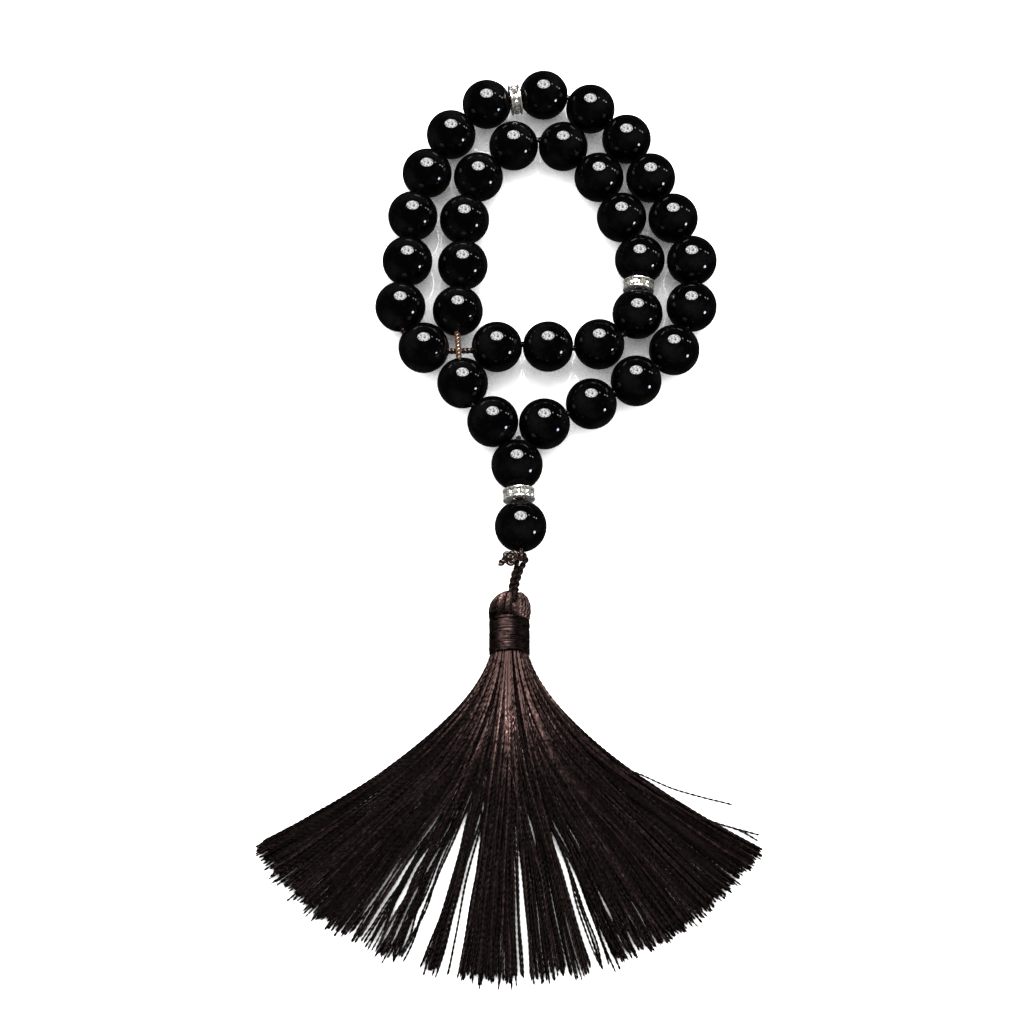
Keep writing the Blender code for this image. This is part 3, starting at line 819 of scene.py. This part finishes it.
def build_dome(materials):
    """The folded threads over the tassel's head: two layers of strands, with a painted sheen on each lobe.
    """
    layers = []
    for count, inset, shift in DOME_LAYERS:
        azimuths = np.arange(count) * 2 * math.pi / count + shift
        layers += [in_steps(course, DOME_STEPS) for course in dome_courses(azimuths, inset * MM)]
    courses = np.array(layers)
    radii = np.full(courses.shape[:2], DOME_STRAND_RADIUS) * np.linspace(0.7, 1.0, DOME_STEPS)
    chance = np.random.default_rng(4)
    down = np.linspace(0.0, 1.0, DOME_STEPS)
    left = courses[:, :, 0] < TASSEL_TOP[0] * MM + CREASE_X
    # painted sheen: the left lobe brightest partway down, the right lobe evenly
    left_painted_sheen = LEFT_SHEEN * np.exp(-(((down - LEFT_SHEEN_AT) / LEFT_SHEEN_WIDTH) ** 2))
    strands = chance.uniform(0.0, 1.3, (len(courses), 1)) ** 2
    tones = np.where(left, left_painted_sheen, RIGHT_SHEEN) * strands * chance.uniform(0.1, 2.2, radii.shape)
    mesh = twisted_mesh("tassel_dome_strands", courses, radii, THREAD_TWIST, tones, sides=5, seed=4)
    new_piece("tassel_dome_strands", mesh, materials["silk"], "tassel", "dark_silk", "tassel_dome")


def build_core(materials):
    """The dark inside of the tassel's head, which backs the strands and the binding."""
    depths = [depth * MM + CORE_INSET for depth, _ in DOME_PROFILE] + [BINDING_BOTTOM]
    radii = [max(0.05 * MM, radius * MM - CORE_INSET) for _, radius in DOME_PROFILE] + [CORE_END_RADIUS]
    outline = [(radius, -depth) for depth, radius in zip(depths, radii)]
    outline = [(CORE_AXIS_RADIUS, outline[0][1])] + outline + [(CORE_AXIS_RADIUS, outline[-1][1])]
    mesh = turned_mesh("tassel_core", outline, CORE_SIDES)
    core = new_piece("tassel_core", mesh, materials["silk"], None, "dark_silk")
    core.matrix_world = aimed(metres(TASSEL_TOP), (0.0, 1.0, 0.0))
    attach(core, "tassel")


def spread_along(angle, values):
    """Values that change smoothly along the winding."""
    return np.interp(angle, np.linspace(0, angle[-1], len(values)), values)


def build_binding(materials):
    """A thread wound round the neck in close, slightly uneven turns, with a painted highlight on top."""
    chance = np.random.default_rng(11)
    turns = (BINDING_BOTTOM - BINDING_TOP) / BINDING_PITCH
    count = int(turns * BINDING_STEPS)
    angle = np.linspace(0.0, 2 * math.pi * turns, count)
    radius = BINDING_RADIUS + spread_along(angle, chance.normal(0, BINDING_UNEVEN, 90))
    slip = spread_along(angle, chance.normal(0, BINDING_SLIP, 60))
    top = np.array(metres(TASSEL_TOP))
    depth = np.linspace(BINDING_TOP, BINDING_BOTTOM, count) + slip
    course = np.stack(
        [top[0] + radius * np.cos(angle), top[1] - depth, top[2] + radius * np.sin(angle)], axis=1
    )[None]
    verts, faces = tubes(course, taper_ends(np.full((1, count), BINDING_THREAD)), BINDING_SIDES)
    mesh = mesh_from_arrays("tassel_binding_wound", verts, faces)
    all_round, on_top = BINDING_SHEEN
    # painted highlight along the top of the binding, a little left of its middle
    painted_highlight = np.exp(-(((np.cos(angle) - BINDING_SHEEN_AT) / BINDING_SHEEN_WIDTH) ** 2))
    painted_highlight = np.where(np.sin(angle) > 0, painted_highlight, 0.0)
    tones = spread_along(angle, chance.uniform(0.0, 1.0, 900)) * (all_round + on_top * painted_highlight)
    add_tones(mesh, tones[None], BINDING_SIDES)
    new_piece("tassel_binding_wound", mesh, materials["silk"], "tassel", "dark_silk", "tassel_binding")


# ---------------------------------------------------------------- skirt


def fan_grid():
    """The courses of imagined threads at even spreads: their x and y at each step, one row per spread."""
    spreads = np.linspace(-1.0, 1.0, SPREADS)[:, None]
    lengths = SKIRT_LENGTH - SKIRT_EDGE_SHORTER * spreads**2
    fans = np.where(spreads > 0, FAN_RIGHT, FAN_LEFT)
    share = (np.arange(THREAD_STEPS) + 0.5) / THREAD_STEPS
    angles = spreads * fans * share**FAN_POWER
    step = lengths / THREAD_STEPS
    top = metres(TASSEL_TOP)
    zero = np.zeros((SPREADS, 1))
    x = top.x + SKIRT_NECK * spreads + np.hstack([zero, np.cumsum(step * np.sin(angles), axis=1)])
    y = top.y - SKIRT_TOP - np.hstack([zero, np.cumsum(step * np.cos(angles), axis=1)])
    return x, y


def skirt_spreads(chance):
    """For each thread, its place across the neck and the place across the fan where its end gathers."""
    ends = np.concatenate([
        low + (high - low) * (np.arange(count) + chance.uniform(0.1, 0.9, count)) / count
        for low, high, count in LOCKS
    ])
    middle = np.linspace(-1.0, 1.0, 400)
    filled = np.cumsum(np.sqrt(1 - middle**2) + 0.25)
    rank = (np.arange(len(ends)) + 0.5) / len(ends)
    starts = np.interp(rank, filled / filled[-1], middle) + chance.normal(0, 0.09, len(ends))
    return np.clip(starts, -0.98, 0.98), ends


def wander(chance, starts, ends, share):
    """Each thread's place across the fan along its length, as it leaves the neck for its lock."""
    gather = np.clip((share - GATHER_FROM) / GATHER_OVER, 0.0, 1.0)
    gather = gather**2 * (3 - 2 * gather)
    spreads = starts[:, None] + (ends - starts)[:, None] * gather
    loose = CALM
    for middle, width, more in LOOSE_PLACES:
        loose = loose + more * np.exp(-(((ends - middle) / width) ** 2))
    for waves, size in THREAD_WAVES:
        phase = chance.uniform(0, 2 * math.pi, len(ends))[:, None]
        strength = (chance.normal(0, size, len(ends)) * loose)[:, None]
        spreads = spreads + strength * np.sin(2 * math.pi * waves * share + phase) * share
    return spreads


def fan_places(spreads, steps):
    """x and y on the fan for places across it and steps along it."""
    below = np.clip(steps.astype(int), 0, THREAD_STEPS - 1)
    part = steps - below
    row = np.clip((spreads + 1) / 2 * (SPREADS - 1), 0, SPREADS - 1.001)
    low_row = row.astype(int)
    across = row - low_row
    places = []
    for table in fan_grid():
        near = table[low_row, below] * (1 - across) + table[low_row + 1, below] * across
        far = table[low_row, below + 1] * (1 - across) + table[low_row + 1, below + 1] * across
        places.append(near * (1 - part) + far * part)
    return places


def thread_heights(chance, starts, reach, share):
    """How high each thread lies: stacked in the round neck, then down to a thin layer on the table."""
    half_neck = np.sqrt(np.maximum(SKIRT_NECK**2 - (SKIRT_NECK * starts[:, None]) ** 2, SKIRT_NECK_EDGE**2))
    base = (TASSEL_TOP[2] * MM - half_neck) * np.maximum(0.0, 1 - reach / SKIRT_LANDING) ** 2
    neck_more = 2 * half_neck - SKIRT_END_THICKNESS
    thick = SKIRT_END_THICKNESS + neck_more * np.exp(-reach / SKIRT_THINNING)
    level = chance.uniform(0, 1, len(starts))[:, None]
    phase = chance.uniform(0, 1, len(starts))[:, None]
    rise = THREAD_RISE * np.sin(2 * math.pi * (RISE_WAVES * share + phase)) * share
    return base + THREAD_RADIUS + (thick - 2 * THREAD_RADIUS) * level + rise


def thread_tones(chance, starts, reach):
    """How pale each thread is: painted sheen near the neck's middle, and random tone by lock and luck."""
    # painted sheen near the neck, brightest in its middle
    near_neck = 1 / (1 + np.exp((reach - NECK_SHEEN) / NECK_SHEEN_FADE))
    mid_neck = np.exp(-((starts[:, None] / NECK_SHEEN_WIDTH) ** 2))
    painted_sheen = near_neck * (NECK_EDGE_SHEEN + (1 - NECK_EDGE_SHEEN) * mid_neck)
    counts = [count for _, _, count in LOCKS]
    shade = np.repeat(chance.uniform(0.75, 1.2, len(LOCKS)), counts)[:, None]
    luck = chance.uniform(0.0, 1.0, len(starts))[:, None]
    tones = NECK_TONE * luck**3 * painted_sheen + THREAD_TONE * luck**5 + LEAST_TONE
    return tones * shade * chance.uniform(0.1, 2.0, reach.shape)


def skirt_courses():
    """Every thread's end across the fan, its course from the neck to that end, its radii and its tones."""
    chance = np.random.default_rng(7)
    starts, ends = skirt_spreads(chance)
    count = len(starts)
    share = np.linspace(0.0, 1.0, THREAD_STEPS + 1)
    spreads = wander(chance, starts, ends, share)
    lengths = np.clip(chance.normal(0.982, 0.014, count), 0.93, 1.015)[:, None]
    x, y = fan_places(spreads, lengths * THREAD_STEPS * share)
    reach = lengths * SKIRT_LENGTH * share
    z = thread_heights(chance, starts, reach, share)
    squeezed = NECK_THINNER + (1 - NECK_THINNER) * np.clip(reach / NECK_THINNER_REACH, 0, 1)
    radii = THREAD_RADIUS * squeezed * chance.uniform(0.88, 1.1, count)[:, None]
    courses = np.stack([x, y, np.maximum(z, TWISTED_REACH * radii)], axis=2)
    return ends, courses, radii, thread_tones(chance, starts, reach)


def build_skirt(materials):
    """The skirt's threads, in two pieces for each CAD bundle that they stand for."""
    ends, courses, radii, tones = skirt_courses()
    for number in range(1, len(BUNDLE_EDGES)):
        low, high = BUNDLE_EDGES[number - 1], BUNDLE_EDGES[number]
        chosen = np.nonzero((ends >= low) & (ends < high))[0]
        for half, part in enumerate(np.array_split(chosen, 2), 1):
            name = f"skirt_threads_{number}_{half}"
            mesh = twisted_mesh(
                name, courses[part], taper_ends(radii[part]), THREAD_TWIST, tones[part], sides=4,
                seed=20 * number + half,
            )
            stands_for = [f"skirt_bundle_{number}"] if half == 1 else []
            new_piece(name, mesh, materials["silk"], "tassel", "dark_silk", *stands_for)


def build_strays(materials):
    """The few threads that lie apart from the fan."""
    for number, (radius, route) in enumerate(STRAYS, 1):
        course = smooth_course([metres(point) for point in route])
        line = evenly(course, THREAD_TWIST / STRAY_STEPS_PER_TURN)[None]
        thin = taper_ends(np.full(line.shape[:2], radius * MM))
        tones = np.full(line.shape[:2], STRAY_TONE)
        mesh = twisted_mesh(f"skirt_stray_{number}", line, thin, THREAD_TWIST, tones, sides=5, seed=number)
        new_piece(f"skirt_stray_{number}", mesh, materials["silk"], "tassel", "dark_silk")


# ---------------------------------------------------------------- light, camera and floor


def add_area_light(name, towards, distance, size, strength, diffuse=True, glossy=True):
    """A round or oval soft light that faces the object's middle from a direction."""
    data = bpy.data.lights.new(name, "AREA")
    data.shape = "ELLIPSE"
    data.size, data.size_y = size
    data.energy = strength
    light = bpy.data.objects.new(name, data)
    bpy.context.scene.collection.objects.link(light)
    direction = Vector(towards).normalized()
    light.location = metres(CAMERA_TARGET) + distance * direction
    light.rotation_euler = direction.to_track_quat("Z", "Y").to_euler()
    light.visible_diffuse = diffuse
    light.visible_glossy = glossy
    return light


def off_camera(right, up):
    """The direction of a light that a ball shows as a spot, right and up from its middle in its radii."""
    tilt = math.asin(math.hypot(right, up))
    swing = math.atan2(up, right)
    towards_camera = Vector((0.0, -math.cos(CAMERA_ELEVATION), math.sin(CAMERA_ELEVATION)))
    image_up = Vector((0.0, math.sin(CAMERA_ELEVATION), math.cos(CAMERA_ELEVATION)))
    sideways = math.cos(swing) * Vector((1.0, 0.0, 0.0)) + math.sin(swing) * image_up
    return math.cos(2 * tilt) * towards_camera + math.sin(2 * tilt) * sideways


def mottle(light):
    """Lets the light through unevenly, as a crumpled diffuser does."""
    light.data.use_nodes = True
    nodes, links = light.data.node_tree.nodes, light.data.node_tree.links
    place = nodes.new("ShaderNodeNewGeometry")
    creases = nodes.new("ShaderNodeTexNoise")
    set_inputs(creases, Scale=6.0, Detail=3.0, Roughness=0.6)
    links.new(place.outputs["Parametric"], creases.inputs["Vector"])
    strength = remap(nodes, links, creases.outputs["Fac"], 0.42, 0.53, 0.15, 1.0)
    links.new(strength, nodes["Emission"].inputs["Strength"])


def build_lights(floor):
    """The softbox, window and lamps show only in polish, and the key only lights soft surfaces."""
    main_direction = off_camera(*MAIN_SPOT)
    softbox = add_area_light(
        "softbox", main_direction, MAIN_DISTANCE, MAIN_SIZE, SOFTBOX_POWER, diffuse=False
    )
    mottle(softbox)
    add_area_light("key", main_direction, MAIN_DISTANCE, MAIN_SIZE, KEY_POWER, glossy=False)
    window = add_area_light(
        "window", off_camera(*WINDOW_SPOT), SPOT_DISTANCE, WINDOW_SIZE, WINDOW_POWER, diffuse=False
    )
    window.data.color = WINDOW_COLOR
    lamps = [
        add_area_light("lamp", off_camera(*spot), SPOT_DISTANCE, LAMP_SIZE, LAMP_POWER, diffuse=False)
        for spot in LAMP_SPOTS
    ]
    all_but_floor = bpy.data.collections.new("all_but_floor")
    all_but_floor.objects.link(floor)
    all_but_floor.collection_objects[0].light_linking.link_state = "EXCLUDE"
    for light in (softbox, window, *lamps):
        light.light_linking.receiver_collection = all_but_floor


def build_world():
    """The surround: bright at the horizon for soft surfaces, even in the table's polish, dim in beads."""
    world = bpy.data.worlds.new("surround")
    bpy.context.scene.world = world
    world.use_nodes = True
    nodes, links = world.node_tree.nodes, world.node_tree.links
    rays = nodes.new("ShaderNodeLightPath")
    background = nodes["Background"]
    background.inputs["Color"].default_value = (1.0, 1.0, 1.0, 1.0)
    direction = nodes.new("ShaderNodeTexCoord")
    parts = nodes.new("ShaderNodeSeparateXYZ")
    links.new(direction.outputs["Generated"], parts.inputs["Vector"])
    height = nodes.new("ShaderNodeMath")
    height.operation = "ABSOLUTE"
    links.new(parts.outputs["Z"], height.inputs[0])
    strength = remap(nodes, links, height.outputs["Value"], *SURROUND_FADE, SURROUND_DIFFUSE, 0.0)
    for ray, level in (("Is Glossy Ray", SURROUND_GLOSSY), ("Is Singular Ray", SURROUND_MIRRORED)):
        choice = nodes.new("ShaderNodeMix")
        links.new(rays.outputs[ray], choice.inputs["Factor"])
        links.new(strength, choice.inputs["A"])
        choice.inputs["B"].default_value = level
        strength = choice.outputs["Result"]
    links.new(strength, background.inputs["Strength"])


def build_floor():
    """The table top. Polished pieces don't show it, or it would ring every bead with grey."""
    verts = np.array([(-1, -1, 0), (1, -1, 0), (1, 1, 0), (-1, 1, 0)], float) * FLOOR_HALF_SIDE
    mesh = mesh_from_arrays("floor", verts, np.array([[0, 1, 2, 3]]), smooth=False)
    mesh.materials.append(floor_material())
    floor = bpy.data.objects.new("floor", mesh)
    floor.location.z = -FLOOR_DROP
    floor.visible_glossy = False
    bpy.context.scene.collection.objects.link(floor)
    return floor


def build_camera():
    """The camera, aimed at the object's middle from above its near side."""
    data = bpy.data.cameras.new("camera")
    data.lens = CAMERA_LENS
    data.sensor_width = 36.0
    data.clip_start = 0.01
    camera = bpy.data.objects.new("camera", data)
    bpy.context.scene.collection.objects.link(camera)
    back = Vector((0.0, -math.cos(CAMERA_ELEVATION), math.sin(CAMERA_ELEVATION)))
    camera.location = metres(CAMERA_TARGET) + CAMERA_DISTANCE * back
    camera.rotation_euler = back.to_track_quat("Z", "Y").to_euler()
    bpy.context.scene.camera = camera


# ---------------------------------------------------------------- the whole scene


def main():
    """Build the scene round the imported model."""
    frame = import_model()
    build_camera()
    places = joint_places(frame)
    materials = {
        "stone": stone_material(),
        "metal": metal_material(),
        "crystal": crystal_material(),
        "cord": thread_material("brown_cord", CORD_DARK, CORD_LIGHT, 900.0, gloss=0.4, roughness=0.2),
        "silk": thread_material("dark_silk", SILK_DARK, SILK_LIGHT, 600.0, gloss=0.03, roughness=0.22),
    }
    build_cords(places, materials)
    build_beads(places, materials)
    build_spacers(places, materials)
    build_knot(materials)
    build_dome(materials)
    build_core(materials)
    build_binding(materials)
    build_skirt(materials)
    build_strays(materials)
    build_world()
    build_lights(build_floor())
    bpy.context.scene.view_settings.view_transform = "Standard"
    bpy.context.view_layer.update()


main()
